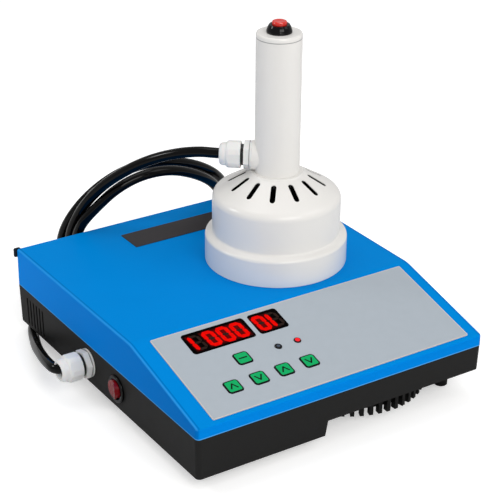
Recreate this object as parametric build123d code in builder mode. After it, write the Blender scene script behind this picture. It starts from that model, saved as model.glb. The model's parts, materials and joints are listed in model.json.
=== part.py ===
import math
import os

from build123d import *

os.makedirs("parts", exist_ok=True)

# ---------------------------------------------------------------- housing
box_w = 280.0          # width, X
box_d = 308.0          # depth, Y
base_bottom = 1.0      # underside of the base; every height but the cable's is from a level 1 mm below it
lift = 9.6             # that level above the table, on which the feet and the cable lie
seam_z = 37.9          # joint between the base tray and the top cover
front_top_z = 47.8     # top of the narrow front strip
top_z = 73.0           # flat rear part of the lid
crease_y = -50.7       # where the flat top turns into the sloped panel
wall = 2.5
base_draft = 1.0       # the base is this much narrower on each side at its foot
corner_r = 4.0         # upright corners at the front
rear_corner_r = 1.5    # upright corners at the rear
foot_r, tall_foot_r = 6.0, 5.9
notch_x = -18.0        # the right part of the base is shallower than the left
notch_z = 15.0

x0, x1 = -box_w / 2, box_w / 2
y0, y1 = -box_d / 2, box_d / 2
slope_len = math.hypot(crease_y - y0, top_z - front_top_z)
slope = math.atan2(top_z - front_top_z, crease_y - y0)
panel = Plane(origin=(0, y0, front_top_z), x_dir=(1, 0, 0), z_dir=(0, -math.sin(slope), math.cos(slope)))


def panel_at(x, s, h=0.0):
    """Plane on the sloped panel: x across, s up the slope, h out of it."""
    return Plane(origin=panel.from_local_coords((x, s, h)), x_dir=panel.x_dir, z_dir=panel.z_dir)


# ---------------------------------------------------------------- control panel layout
overlay_w, overlay_h, overlay_t = 251.0, 98.8, 0.8
overlay_x, overlay_s = 2.3, 53.6
disp1_x, disp1_w = -68.8, 59.2      # four digit window
disp2_x, disp2_w = -20.9, 28.0      # two digit window
disp_s, disp_h = 85.9, 24.4
disp_top = 1.0
led_d = 6.4
led_dark_at = (-30.1, 55.8)
led_red_at = (-11.3, 55.9)
keys_at = {
    "key_set": (-64.6, 55.2),
    "key_time_up": (-89.3, 29.9),
    "key_time_down": (-64.8, 30.1),
    "key_power_up": (-40.6, 30.4),
    "key_power_down": (-16.1, 30.7),
}
key_size, key_gap, key_top, key_travel = 13.6, 0.35, 1.4, 0.5
board_top = -10.0      # below the panel's outer face
board_x, board_s, board_w, board_h = -38.0, 56.0, 156.0, 84.0

# ---------------------------------------------------------------- side fittings
switch_y, switch_z = -27.2, 20.2
bezel_r, switch_hole_r, rocker_r = 12.1, 10.0, 8.1
rocker_tilt = 9.0
side_x = x0 + 0.35     # outer face of the base wall at the height of the fittings
gland_y, gland_z = 22.6, 20.6

# ---------------------------------------------------------------- cable
cable_d = 9.4
# run of the tube from the box to the head, in heights above the table
route = [
    (-143.6, 22.6, 30.2), (-173.2, 22.7, 29.9), (-162.2, 53.8, 23.6), (-155.3, 78.0, 17.6),
    (-149.0, 100.3, 11.8), (-142.3, 121.8, 6.2), (-134.7, 141.2, 4.8), (-125.0, 155.9, 5.2),
    (-113.6, 168.0, 10.4), (-101.4, 175.8, 20.0), (-90.0, 178.4, 32.9), (-81.0, 175.6, 47.5),
    (-75.4, 168.1, 62.3), (-74.6, 159.0, 86.6), (-61.4, 147.9, 107.2), (-44.1, 140.5, 124.3),
    (-19.6, 136.6, 133.3), (10.3, 137.6, 131.1), (40.3, 143.0, 117.9), (65.3, 152.7, 99.8),
    (80.8, 164.5, 79.8), (84.7, 176.5, 57.9), (78.4, 187.3, 36.4), (63.6, 195.7, 19.8),
    (41.6, 201.0, 10.1), (15.0, 204.1, 5.7), (-12.7, 206.5, 4.8), (-38.2, 208.6, 7.6),
    (-59.3, 207.3, 20.1), (-73.4, 200.7, 40.8), (-77.6, 189.8, 67.8), (-67.0, 177.5, 96.0),
    (-47.9, 167.0, 118.0), (-21.9, 161.7, 130.4), (10.8, 161.6, 130.7), (46.4, 165.8, 119.7),
    (77.6, 173.6, 101.1), (97.5, 184.4, 80.1), (103.2, 196.1, 56.5), (97.2, 206.6, 32.5),
    (81.4, 214.4, 14.1), (58.3, 218.2, 4.9), (30.2, 218.2, 5.2), (-0.3, 215.0, 11.3),
    (-29.8, 208.8, 19.1), (-54.5, 199.5, 29.5), (-70.7, 188.3, 47.2), (-76.4, 176.4, 72.8),
    (-69.7, 163.0, 101.6), (-58.2, 145.2, 127.0), (-45.0, 124.0, 147.2), (-30.9, 102.1, 163.0),
    (-15.4, 80.5, 173.4), (-2.7, 63.3, 178.0), (5.2, 52.6, 178.5), (21.5, 39.8, 178.3),
]

# ---------------------------------------------------------------- sealing head
head_x, head_y = 47.2, 19.8
head_z = top_z
flange_r, flange_h = 62.2, 22.0
bell_r, bell_top = 56.0, 60.0
cone_r0, cone_z0 = 50.5, 65.4      # where the cone starts, above the rounded shoulder
cone_r1, cone_z1 = 22.6, 82.0      # where it meets the handle
bell_wall = 3.0
slot_count, slot_r0, slot_r1, slot_w = 12, 26.2, 42.6, 4.7
slot_start = 140.8
handle_r, handle_wall = 19.5, 2.5
handle_z0, handle_z1 = 75.0, 200.6
cap_top = 206.8
dome_r0, dome_r1, dome_top = 10.9, 7.3, 213.6
button_r, button_top, button_travel = 6.3, 216.6, 2.5
head_gland_z = 95.7
head_gland_angle = 142.0
boss_r = 21.4

# ---------------------------------------------------------------- fan
fan_x, fan_y = 55.0, -76.0
fan_size, fan_t = 80.0, 20.0
basket_r, basket_h = 69.5, 17.5


def write(part, name, raise_by=lift):
    part = part.moved(Location((0, 0, raise_by)))
    part.label = name
    export_step(part, f"parts/{name}.step")


def footprint(w, d):
    """Outline of the box: round corners at the front, sharper ones at the rear."""
    with BuildSketch() as outline:
        Rectangle(w, d)
        corners = outline.vertices()
        fillet([v for v in corners if v.Y < 0], corner_r)
        fillet([v for v in outline.vertices() if v.Y > d / 2 - 0.01], rear_corner_r)
    return outline.sketch


# ================================================================ base tray
with BuildPart() as base_tray:
    with BuildSketch(Plane.XY.offset(base_bottom)):
        add(footprint(box_w - 2 * base_draft, box_d - 2 * base_draft))
    with BuildSketch(Plane.XY.offset(seam_z)):
        add(footprint(box_w, box_d))
    loft(ruled=True)
    # the shallow right part
    with BuildSketch(Plane.XZ):
        with BuildLine():
            Polyline((notch_x - 1.4, -1), (notch_x + 1.1, notch_z), (x1 + 5, notch_z), (x1 + 5, -1), close=True)
        make_face()
    extrude(amount=box_d, both=True, mode=Mode.SUBTRACT)
    # softened lower edges
    low = base_tray.edges().filter_by(Axis.X).filter_by_position(Axis.Y, y0 - 1, y0 + 2)
    fillet(low.filter_by(lambda e: e.center().Z < notch_z + 1), 0.8)
    # inside, open at the top and at the rear
    with BuildSketch(Plane.XZ.offset(-y1 - 1)):
        with BuildLine():
            Polyline(
                (x0 + 3.4, base_bottom + wall), (notch_x - 4.4, base_bottom + wall),
                (notch_x - 2.0, notch_z + wall), (x1 - 3.0, notch_z + wall),
                (x1 - wall, seam_z + 1), (x0 + wall, seam_z + 1), close=True,
            )
        make_face()
    extrude(amount=box_d + 1 - wall - 0.8, mode=Mode.SUBTRACT)
    # vent slots at the rear of both sides
    with BuildSketch(Plane.YZ.offset(x0 - 1)):
        with Locations(*[(137.6 - 5.9 * i, 17.6) for i in range(6)]):
            SlotOverall(26.5, 2.6, rotation=90)
    extrude(amount=6, mode=Mode.SUBTRACT)
    with BuildSketch(Plane.YZ.offset(x1 - 5)):
        with Locations(*[(137.6 - 5.9 * i, 25.5) for i in range(6)]):
            SlotOverall(12.0, 2.6, rotation=90)
    extrude(amount=6, mode=Mode.SUBTRACT)
    # holes for the switch and the cable gland
    with BuildSketch(Plane.YZ.offset(x0 - 1)):
        with Locations((switch_y, switch_z)):
            Circle(switch_hole_r + 0.1)
        with Locations((gland_y, gland_z)):
            Circle(9.4)
    extrude(amount=6, mode=Mode.SUBTRACT)
    # flats on the drafted wall that the round fittings sit on
    with BuildSketch(Plane.YZ.offset(x0 - 1)):
        with Locations((switch_y, switch_z)):
            Circle(bezel_r + 0.2)
        with Locations((gland_y, gland_z)):
            Circle(12.6)
    extrude(amount=1 + side_x - x0, mode=Mode.SUBTRACT)
    # air inlet under the fan
    with BuildSketch(Plane.XY.offset(notch_z - 1)):
        with Locations((fan_x, fan_y)):
            Circle(37.0)
            with GridLocations(71.5, 71.5, 2, 2):
                Circle(2.0)
    extrude(amount=wall + 2, mode=Mode.SUBTRACT)
    # holes for the foot screws and posts for the lid screws
    with BuildSketch(Plane.XY.offset(base_bottom + wall)):
        with Locations((x0 + 14, y0 + 16), (x0 + 14, y1 - 20)):
            Circle(4.2)
    extrude(amount=seam_z - base_bottom - wall - 0.4)
    with BuildSketch(Plane.XY.offset(notch_z + wall)):
        with Locations((x1 - 14, y0 + 10), (x1 - 14, y1 - 20)):
            Circle(4.2)
    extrude(amount=seam_z - notch_z - wall - 0.4)
    with BuildSketch(Plane.XY.offset(0)):
        with Locations((x0 + 14, y0 + 16), (x0 + 14, y1 - 20), (x1 - 14, y0 + 10), (x1 - 14, y1 - 20)):
            Circle(1.75)
    extrude(amount=seam_z + 1, mode=Mode.SUBTRACT)
write(base_tray.part, "base_tray")

# ================================================================ top cover
with BuildPart() as top_cover:
    with BuildSketch(Plane.YZ):
        with BuildLine():
            Polyline((y0, seam_z), (y0, front_top_z), (crease_y, top_z), (y1, top_z), (y1, seam_z), close=True)
        make_face()
    extrude(amount=box_w / 2, both=True)
    crease = top_cover.edges().filter_by(Axis.X).filter_by_position(Axis.Y, crease_y - 1, crease_y + 1)
    fillet(crease, 30.0)
    uprights = top_cover.edges().filter_by(Axis.Z)
    fillet(uprights.filter_by(lambda e: e.center().Y < 0), corner_r - 0.5)
    fillet(uprights.filter_by(lambda e: e.center().Y > 0), rear_corner_r)
    rim = top_cover.edges().filter_by_position(Axis.Z, front_top_z - 0.6, top_z + 1)
    rim = rim.filter_by(lambda e: abs(abs(e.center().X) - x1) < 3.6 or e.center().Y < y0 + 0.5)
    fillet(rim, 2.0)
    # inside, open below and at the rear
    with BuildSketch(Plane.YZ.offset(x0 + wall)):
        with BuildLine():
            Polyline(
                (y0 + wall, seam_z - 1), (y0 + wall, front_top_z - 1.9), (crease_y + 0.3, top_z - wall),
                (y1 + 1, top_z - wall), (y1 + 1, seam_z - 1), close=True,
            )
        make_face()
    extrude(amount=box_w - 2 * wall, mode=Mode.SUBTRACT)
    # panel cut-outs
    with BuildSketch(panel_at(0, 0, 2)):
        with Locations((disp1_x, disp_s)):
            RectangleRounded(disp1_w - 4, disp_h - 2.6, 1)
        with Locations((disp2_x, disp_s)):
            RectangleRounded(disp2_w - 4, disp_h - 2.6, 1)
        with Locations(led_dark_at, led_red_at):
            Circle(led_d / 2 + 0.1)
        with Locations(*keys_at.values()):
            RectangleRounded(key_size + 2 * key_gap, key_size + 2 * key_gap, 3.2)
    extrude(amount=-8, mode=Mode.SUBTRACT)
    # screw bosses
    with BuildSketch(Plane.XY.offset(seam_z - 0.4)):
        with Locations((x0 + 14, y0 + 16)):
            Circle(4.2)
    extrude(amount=12.6)
    with BuildSketch(Plane.XY.offset(seam_z - 0.4)):
        with Locations((x1 - 14, y0 + 10)):
            Circle(4.2)
    extrude(amount=11.3)
    with BuildSketch(Plane.XY.offset(seam_z - 0.4)):
        with Locations((x0 + 14, y1 - 20), (x1 - 14, y1 - 20)):
            Circle(4.2)
    extrude(amount=top_z - seam_z - 1)
    with BuildSketch(Plane.XY.offset(seam_z - 2)):
        with Locations((x0 + 14, y0 + 16), (x0 + 14, y1 - 20), (x1 - 14, y0 + 10), (x1 - 14, y1 - 20)):
            Circle(1.25)
    extrude(amount=9.5, mode=Mode.SUBTRACT)
write(top_cover.part, "top_cover")

# ================================================================ rear panel
inlet_x, inlet_z, inlet_w, inlet_h = 86.0, 46.0, 27.6, 20.0
fuse_x = 48.0
with BuildPart() as rear_panel:
    # plug that fills the opening of both shells
    with BuildSketch(Plane.XZ.offset(-y1)):
        with BuildLine():
            Polyline(
                (x0 + 3.7, base_bottom + wall + 0.2), (notch_x - 4.7, base_bottom + wall + 0.2),
                (notch_x - 2.3, notch_z + wall + 0.2), (x1 - 3.3, notch_z + wall + 0.2),
                (x1 - wall - 0.2, seam_z), (x1 - wall - 0.2, top_z - wall - 0.2),
                (x0 + wall + 0.2, top_z - wall - 0.2), (x0 + wall + 0.2, seam_z), close=True,
            )
        make_face()
    extrude(amount=wall)
    # rim over the shells
    with BuildSketch(Plane.XZ.offset(-y1)):
        with BuildLine():
            Polyline(
                (x0 + 2.4, base_bottom + 1.5), (notch_x - 2.6, base_bottom + 1.5), (notch_x - 0.4, notch_z + 1.3),
                (x1 - 2.0, notch_z + 1.3), (x1 - 1.5, seam_z), (x1 - 1.5, top_z - 1.8), (x0 + 1.5, top_z - 1.8),
                (x0 + 1.5, seam_z), close=True,
            )
        make_face()
        # corner lugs that stand out past the lid
        with Locations((x0 + 0.8, top_z - 4.0), (x1 - 0.8, top_z - 4.0)):
            RectangleRounded(6.4, 8.4, 1.4)
    extrude(amount=-1.4)
    with BuildSketch(Plane.XZ.offset(-y1 - 5)):
        with Locations((inlet_x, inlet_z)):
            RectangleRounded(inlet_w + 0.4, inlet_h + 0.4, 2)
        with Locations((fuse_x, inlet_z)):
            Circle(6.2)
        with Locations((inlet_x - 20, inlet_z), (inlet_x + 20, inlet_z)):
            Circle(1.7)
        # outlet louvres
        with Locations(*[(-70.0 + 8 * i, 52.0) for i in range(9)]):
            SlotOverall(24, 3, rotation=90)
    extrude(amount=12, mode=Mode.SUBTRACT)
write(rear_panel.part, "rear_panel")

# ================================================================ power inlet, fuse holder
pins_at = [(inlet_x - 7, inlet_z - 2), (inlet_x + 7, inlet_z - 2), (inlet_x, inlet_z + 2)]
with BuildPart() as power_inlet:
    with BuildSketch(Plane.XZ.offset(-y1 - 1.4)):
        with Locations((inlet_x, inlet_z)):
            RectangleRounded(50, 24, 4)
            with Locations((-20, 0), (20, 0)):
                Circle(1.7, mode=Mode.SUBTRACT)
    extrude(amount=-2.4)
    with BuildSketch(Plane.XZ.offset(-y1 - 1.4)):
        with Locations((inlet_x, inlet_z)):
            RectangleRounded(inlet_w, inlet_h, 1.8)
    extrude(amount=22)
    with BuildSketch(Plane.XZ.offset(-y1 - 3.8)):
        with BuildLine():
            Polyline(*[(inlet_x + dx, inlet_z + dz) for dx, dz in
                       ((-12, -8), (12, -8), (12, 3), (7, 8), (-7, 8), (-12, 3))], close=True)
        make_face()
    extrude(amount=17, mode=Mode.SUBTRACT)
    with BuildSketch(Plane.XZ.offset(-y1 + 30)):
        with Locations(*pins_at):
            Rectangle(2, 4)
    extrude(amount=-20, mode=Mode.SUBTRACT)
write(power_inlet.part, "power_inlet")

with BuildPart() as inlet_pins:
    with BuildSketch(Plane.XZ.offset(-y1 + 25)):
        with Locations(*pins_at):
            Rectangle(2, 4)
    extrude(amount=-23)
write(inlet_pins.part, "inlet_pins")

with BuildPart() as fuse_holder:
    with BuildSketch(Plane.XZ.offset(-y1 - 1.4)):
        with Locations((fuse_x, inlet_z)):
            Circle(8.0)
    extrude(amount=-1.2)
    with BuildSketch(Plane.XZ.offset(-y1 - 2.6)):
        with Locations((fuse_x, inlet_z)):
            Circle(6.6)
            Rectangle(9, 1.4, mode=Mode.SUBTRACT)
    extrude(amount=-1.2)
    with BuildSketch(Plane.XZ.offset(-y1 - 1.4)):
        with Locations((fuse_x, inlet_z)):
            Circle(6.0)
    extrude(amount=30)
write(fuse_holder.part, "fuse_holder")

# ================================================================ panel parts
with BuildPart() as panel_overlay:
    with BuildSketch(panel_at(0, 0)):
        with Locations((overlay_x, overlay_s)):
            RectangleRounded(overlay_w, overlay_h, 1.5)
        with Locations((disp1_x, disp_s)):
            RectangleRounded(disp1_w + 0.2, disp_h + 0.2, 3, mode=Mode.SUBTRACT)
        with Locations((disp2_x, disp_s)):
            RectangleRounded(disp2_w + 0.2, disp_h + 0.2, 3, mode=Mode.SUBTRACT)
        with Locations(led_dark_at, led_red_at):
            Circle(led_d / 2 + 0.1, mode=Mode.SUBTRACT)
        with Locations(*keys_at.values()):
            RectangleRounded(key_size + 2 * key_gap, key_size + 2 * key_gap, 3.2, mode=Mode.SUBTRACT)
    extrude(amount=overlay_t)
write(panel_overlay.part, "panel_overlay")


def display(x, w, name):
    with BuildPart() as d:
        with BuildSketch(panel_at(0, 0)):
            with Locations((x, disp_s)):
                RectangleRounded(w, disp_h, 2.9)
        extrude(amount=disp_top)
        with BuildSketch(panel_at(0, 0)):
            with Locations((x, disp_s)):
                RectangleRounded(w - 4.4, disp_h - 3.0, 0.8)
        extrude(amount=board_top)
    write(d.part, name)


display(disp1_x, disp1_w, "display_large")
display(disp2_x, disp2_w, "display_small")

for led_name, led_at in (("indicator_left", led_dark_at), ("indicator_right", led_red_at)):
    with BuildPart() as led:
        with BuildSketch(panel_at(0, 0, board_top)):
            with Locations(led_at):
                Circle(2.5)
        extrude(amount=-board_top - 3)
        with BuildSketch(panel_at(0, 0, -3)):
            with Locations(led_at):
                Circle(led_d / 2)
        extrude(amount=4.6)
        fillet(led.edges().group_by(Axis(panel.origin, panel.z_dir))[-1], 0.8)
    write(led.part, led_name)

for key_name, (kx, ks) in keys_at.items():
    with BuildPart() as key:
        with BuildSketch(panel_at(kx, ks, -2.0)):
            RectangleRounded(key_size, key_size, 3.0)
        extrude(amount=key_top + 2.0)
        fillet(key.edges().group_by(Axis(panel.origin, panel.z_dir))[-1], 0.6)
        with BuildSketch(panel_at(kx, ks, -4.0)):
            RectangleRounded(key_size + 2.4, key_size + 2.4, 3.0)
        extrude(amount=1.2)
        with BuildSketch(panel_at(kx, ks, -4.6)):
            Circle(2.0)
        extrude(amount=3.0)
    write(key.part, key_name)

with BuildPart() as tact_switches:
    with BuildSketch(panel_at(0, 0, board_top)):
        with Locations(*keys_at.values()):
            Rectangle(6, 6)
    extrude(amount=3.8)
    with BuildSketch(panel_at(0, 0, board_top + 3.8)):
        with Locations(*keys_at.values()):
            Circle(1.7)
    extrude(amount=1.0)
write(tact_switches.part, "tact_switches")

with BuildPart() as control_board:
    with BuildSketch(panel_at(board_x, board_s, board_top)):
        Rectangle(board_w, board_h)
        with GridLocations(board_w - 10, board_h - 10, 2, 2):
            Circle(1.6, mode=Mode.SUBTRACT)
    extrude(amount=-1.6)
write(control_board.part, "control_board")

with BuildPart() as board_spacers:
    with BuildSketch(panel_at(board_x, board_s, board_top)):
        with GridLocations(board_w - 10, board_h - 10, 2, 2):
            Circle(3.0)
            Circle(1.3, mode=Mode.SUBTRACT)
    extrude(amount=7.4)
write(board_spacers.part, "board_spacers")

with BuildPart() as label_strip:
    with BuildSketch(Plane.XY.offset(top_z)):
        with Locations((4.25, 113.8)):
            RectangleRounded(105.5, 28.4, 0.8)
    extrude(amount=0.5)
write(label_strip.part, "label_strip")

# ================================================================ inside the housing
with BuildPart() as power_board:
    with BuildSketch(Plane.XY.offset(9.5)):
        with Locations((-77.5, 30)):
            Rectangle(87, 190)
    extrude(amount=1.6)
write(power_board.part, "power_board")

with BuildPart() as board_posts:
    with BuildSketch(Plane.XY.offset(base_bottom + wall)):
        with Locations((-77.5, 30)):
            with GridLocations(77, 180, 2, 2):
                Circle(3.2)
    extrude(amount=9.5 - base_bottom - wall)
write(board_posts.part, "board_posts")

with BuildPart() as transformer:
    with BuildSketch(Plane.XY.offset(11.1)):
        with Locations((-62, 92)):
            Rectangle(46, 40)
    extrude(amount=34)
    fillet(transformer.edges().filter_by(Axis.Z), 2)
    with BuildSketch(Plane.XY.offset(17.1)):
        with Locations((-62, 92)):
            Rectangle(32, 54)
    extrude(amount=22)
write(transformer.part, "transformer")

with BuildPart() as capacitors:
    with BuildSketch(Plane.XY.offset(11.1)):
        with Locations((-58, 38), (-58, 12)):
            Circle(11)
    extrude(amount=32)
    chamfer(capacitors.edges().group_by(Axis.Z)[-1], 1)
write(capacitors.part, "capacitors")

with BuildPart() as heat_sink:
    with BuildSketch(Plane.XY.offset(11.1)):
        with Locations((-98, -28)):
            Rectangle(30, 60)
    extrude(amount=4)
    with BuildSketch(Plane.XY.offset(15.1)):
        with Locations((-98, -28)):
            with GridLocations(5.6, 0, 6, 1):
                Rectangle(1.6, 60)
    extrude(amount=22)
write(heat_sink.part, "heat_sink")

with BuildPart() as power_transistors:
    with BuildSketch(Plane.XY.offset(11.1)):
        with Locations((-74, -42), (-74, -18)):
            Rectangle(5, 16)
    extrude(amount=20)
write(power_transistors.part, "power_transistors")

# ================================================================ fan and its inlet
with BuildPart() as fan_frame:
    with BuildSketch(Plane.XY.offset(notch_z + wall)):
        with Locations((fan_x, fan_y)):
            RectangleRounded(fan_size, fan_size, 4)
            Circle(38.2, mode=Mode.SUBTRACT)
            with GridLocations(71.5, 71.5, 2, 2):
                Circle(2.15, mode=Mode.SUBTRACT)
    extrude(amount=fan_t)
    with BuildSketch(Plane.XY.offset(notch_z + wall + fan_t - 3)):
        with Locations((fan_x, fan_y)):
            Circle(17)
            with PolarLocations(27, 4, start_angle=45):
                Rectangle(26, 4)
    extrude(amount=3)
    with BuildSketch(Plane.XY.offset(notch_z + wall + 6)):
        with Locations((fan_x, fan_y)):
            Circle(1.5)
    extrude(amount=fan_t - 8)
write(fan_frame.part, "fan_frame")

with BuildPart() as fan_rotor:
    with BuildSketch(Plane.XY.offset(notch_z + wall + 2.5)):
        with Locations((fan_x, fan_y)):
            Circle(16)
    extrude(amount=13.5)
    with Locations(Location((fan_x, fan_y, notch_z + wall + 9.2))):
        with PolarLocations(25.3, 7):
            Box(21.8, 16.5, 1.4, rotation=(34, 0, 0))
    with BuildSketch(Plane.XY.offset(notch_z + wall + 2)):
        with Locations((fan_x, fan_y)):
            Circle(1.56)
    extrude(amount=16, mode=Mode.SUBTRACT)
write(fan_rotor.part, "fan_rotor")

with BuildPart() as fan_guard:
    # ring plate under the floor, with a crown of ribs and a cross of bars
    with BuildSketch(Plane.XY.offset(notch_z - 2.0)):
        with Locations((fan_x, fan_y)):
            Circle(basket_r)
            Circle(36.5, mode=Mode.SUBTRACT)
    extrude(amount=2.0)
    with BuildSketch(Plane.XY.offset(notch_z - basket_h)):
        with Locations((fan_x, fan_y)):
            with PolarLocations(basket_r - 2.6, 54):
                Rectangle(5.2, 3.4)
    extrude(amount=basket_h - 1)
    with BuildSketch(Plane.XY.offset(notch_z - basket_h + 4.5)):
        with Locations((fan_x, fan_y)):
            Circle(basket_r - 4.8)
            Circle(basket_r - 7.2, mode=Mode.SUBTRACT)
    extrude(amount=2.4)
    with BuildSketch(Plane.XY.offset(notch_z - 2.0)):
        with Locations((fan_x, fan_y)):
            for rr in (12.0, 20.0, 28.0):
                Circle(rr)
                Circle(rr - 1.6, mode=Mode.SUBTRACT)
            Rectangle(76, 2.4)
            Rectangle(2.4, 76)
    extrude(amount=2.0)
    with BuildSketch(Plane.XY.offset(notch_z - 3)):
        with Locations((fan_x, fan_y)):
            with GridLocations(71.5, 71.5, 2, 2):
                Circle(1.8)
    extrude(amount=4, mode=Mode.SUBTRACT)
write(fan_guard.part, "fan_guard")

with BuildPart() as fan_screws:
    with BuildSketch(Plane.XY.offset(notch_z - 3.6)):
        with Locations((fan_x, fan_y)):
            with GridLocations(71.5, 71.5, 2, 2):
                Circle(3.0)
    extrude(amount=1.6)
    with BuildSketch(Plane.XY.offset(notch_z - 2.1)):
        with Locations((fan_x, fan_y)):
            with GridLocations(71.5, 71.5, 2, 2):
                Circle(1.7)
    extrude(amount=wall + 10)
write(fan_screws.part, "fan_screws")

# ================================================================ feet and housing screws
with BuildPart() as feet:
    # four short ones under the deep part, two tall ones under the raised part
    with BuildSketch(Plane.XY.offset(-lift)):
        with Locations((x0 + 32, y0 + 32), (x0 + 32, y1 - 32), (-40, y0 + 32), (-40, y1 - 32)):
            Circle(foot_r)
    extrude(amount=lift + base_bottom)
    with BuildSketch(Plane.XY.offset(-lift)):
        with Locations((123.9, -123.6), (123.9, 123.6)):
            Circle(tall_foot_r)
    extrude(amount=lift + notch_z)
    chamfer(feet.edges().group_by(Axis.Z)[0], 0.6)
write(feet.part, "feet")

with BuildPart() as housing_screws:
    with BuildSketch(Plane.XY.offset(base_bottom - 0.6)):
        with Locations((x0 + 14, y0 + 16), (x0 + 14, y1 - 20)):
            Circle(2.9)
    extrude(amount=0.6)
    with BuildSketch(Plane.XY.offset(base_bottom - 0.1)):
        with Locations((x0 + 14, y0 + 16), (x0 + 14, y1 - 20)):
            Circle(1.2)
    extrude(amount=seam_z + 6 - base_bottom)
    with BuildSketch(Plane.XY.offset(notch_z - 1.6)):
        with Locations((x1 - 14, y0 + 10), (x1 - 14, y1 - 20)):
            Circle(2.9)
    extrude(amount=1.6)
    with BuildSketch(Plane.XY.offset(notch_z - 0.1)):
        with Locations((x1 - 14, y0 + 10), (x1 - 14, y1 - 20)):
            Circle(1.2)
    extrude(amount=seam_z + 6 - notch_z)
write(housing_screws.part, "housing_screws")

# ================================================================ rocker switch
switch_plane = Plane(origin=(side_x, switch_y, switch_z), x_dir=(0, -1, 0), z_dir=(-1, 0, 0))
with BuildPart() as switch_body:
    with BuildSketch(switch_plane):
        Circle(bezel_r)
    extrude(amount=2.2)
    fillet(switch_body.edges().group_by(Axis.X)[0], 1.2)
    with BuildSketch(switch_plane):
        Circle(switch_hole_r)
    extrude(amount=-17)
    with BuildSketch(switch_plane.offset(3)):
        Circle(9.25)
    extrude(amount=-14, mode=Mode.SUBTRACT)
    with BuildSketch(Plane.XY.offset(switch_z - 9.7)):
        with Locations((side_x + 2.0, switch_y)):
            Circle(1.07)
    extrude(amount=19.4, mode=Mode.SUBTRACT)
write(switch_body.part, "switch_body")

pivot_x = side_x + 2.0
rocker_axis = Axis((pivot_x, switch_y, 0), (0, 0, 1))
with BuildPart() as rocker_round:
    with BuildSketch(switch_plane.offset(-6.5)):
        Circle(rocker_r)
    extrude(amount=12)
with BuildPart() as rocker:
    with BuildSketch(Plane.XY.offset(switch_z - 9)):
        with BuildLine():
            # seen from above: two faces that meet in a shallow valley, rounded back
            Polyline(
                (side_x - 4.9, switch_y - 8.2), (side_x - 3.3, switch_y), (side_x - 4.9, switch_y + 8.2),
                (side_x + 2.5, switch_y + 8.2), (side_x + 6.0, switch_y + 3.0), (side_x + 6.0, switch_y - 3.0),
                (side_x + 2.5, switch_y - 8.2), close=True,
            )
        make_face()
    extrude(amount=18)
    add(rocker_round.part, mode=Mode.INTERSECT)
    with BuildSketch(Plane.XY.offset(switch_z - 9.6)):
        with Locations((pivot_x, switch_y)):
            Circle(1.0)
    extrude(amount=19.2)
rocker_solid = rocker.part.rotate(rocker_axis, -rocker_tilt)
write(Part(rocker_solid.wrapped), "rocker")

with BuildPart() as switch_terminals:
    with BuildSketch(switch_plane.offset(-17)):
        with Locations((-5, 0), (5, 0)):
            Rectangle(0.8, 4.8)
    extrude(amount=-9)
write(switch_terminals.part, "switch_terminals")


# ================================================================ cable glands
def gland(frame, prefix, through, hex_turn=12, lock_nut=True):
    """Hexagon body, washer, dome nut and seal on the plane `frame`, whose z points out of the wall."""
    with BuildPart() as washer:
        with BuildSketch(frame):
            Circle(12.5)
            Circle(9.25, mode=Mode.SUBTRACT)
        extrude(amount=2.0)
        fillet(washer.edges().filter_by(lambda e: e.length > 70), 0.4)
    write(washer.part, f"{prefix}_washer")
    with BuildPart() as body:
        with BuildSketch(frame.offset(2.0)):
            RegularPolygon(22.6 / 2, 6, major_radius=False, rotation=hex_turn)
        extrude(amount=5.0)
        with BuildSketch(frame.offset(-through)):
            Circle(9.2)
        extrude(amount=through + 17.8)
        with BuildSketch(frame.offset(-through - 1)):
            Circle(5.2)
        extrude(amount=through + 30, mode=Mode.SUBTRACT)
        # rounded hexagon corners
        with BuildPart(frame, mode=Mode.PRIVATE) as limit:
            with BuildSketch(frame.offset(-through - 1)):
                Circle(12.9)
            extrude(amount=through + 30)
        add(limit.part, mode=Mode.INTERSECT)
    write(body.part, f"{prefix}_body")
    with BuildPart() as nut:
        prof = Plane(origin=frame.origin, x_dir=frame.x_dir, z_dir=frame.y_dir)
        # local x = radius, local -y = along the gland
        s = 1.0 if prof.y_dir.dot(frame.z_dir) > 0 else -1.0
        with BuildSketch(prof):
            with BuildLine():
                Polyline(
                    (9.3, s * 9.8), (11.7, s * 9.8), (12.1, s * 10.4), (12.1, s * 19.9), (11.3, s * 21.7), (10.2, s * 22.5),
                    (10.0, s * 25.4), (9.2, s * 27.3), (8.0, s * 28.3), (7.2, s * 28.3), (5.1, s * 23.2), (5.1, s * 22.8),
                    (9.3, s * 18.6), close=True,
                )
            make_face()
        revolve(axis=Axis(frame.origin, frame.z_dir))
        with BuildPart(frame, mode=Mode.PRIVATE) as hexa:
            with BuildSketch(frame):
                RegularPolygon(22.9 / 2, 6, major_radius=False, rotation=0)
            extrude(amount=32)
        add(hexa.part, mode=Mode.INTERSECT)
    write(nut.part, f"{prefix}_nut")
    if not lock_nut:
        return
    with BuildPart() as lock:
        with BuildSketch(frame.offset(-through + 1.0)):
            RegularPolygon(22.5 / 2, 6, major_radius=False)
            Circle(9.2, mode=Mode.SUBTRACT)
        extrude(amount=through - 1.0 - 3.0)
    write(lock.part, f"{prefix}_locknut")


box_gland_plane = Plane(origin=(side_x, gland_y, gland_z), x_dir=(0, 1, 0), z_dir=(-1, 0, 0))
gland(box_gland_plane, "box_gland", 9.0)
ga = math.radians(head_gland_angle)
head_gland_plane = Plane(
    origin=(head_x + boss_r * math.cos(ga), head_y + boss_r * math.sin(ga), head_z + head_gland_z),
    x_dir=(0, 0, 1), z_dir=(math.cos(ga), math.sin(ga), 0),
)
gland(head_gland_plane, "head_gland", 9.0, lock_nut=False)

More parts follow.
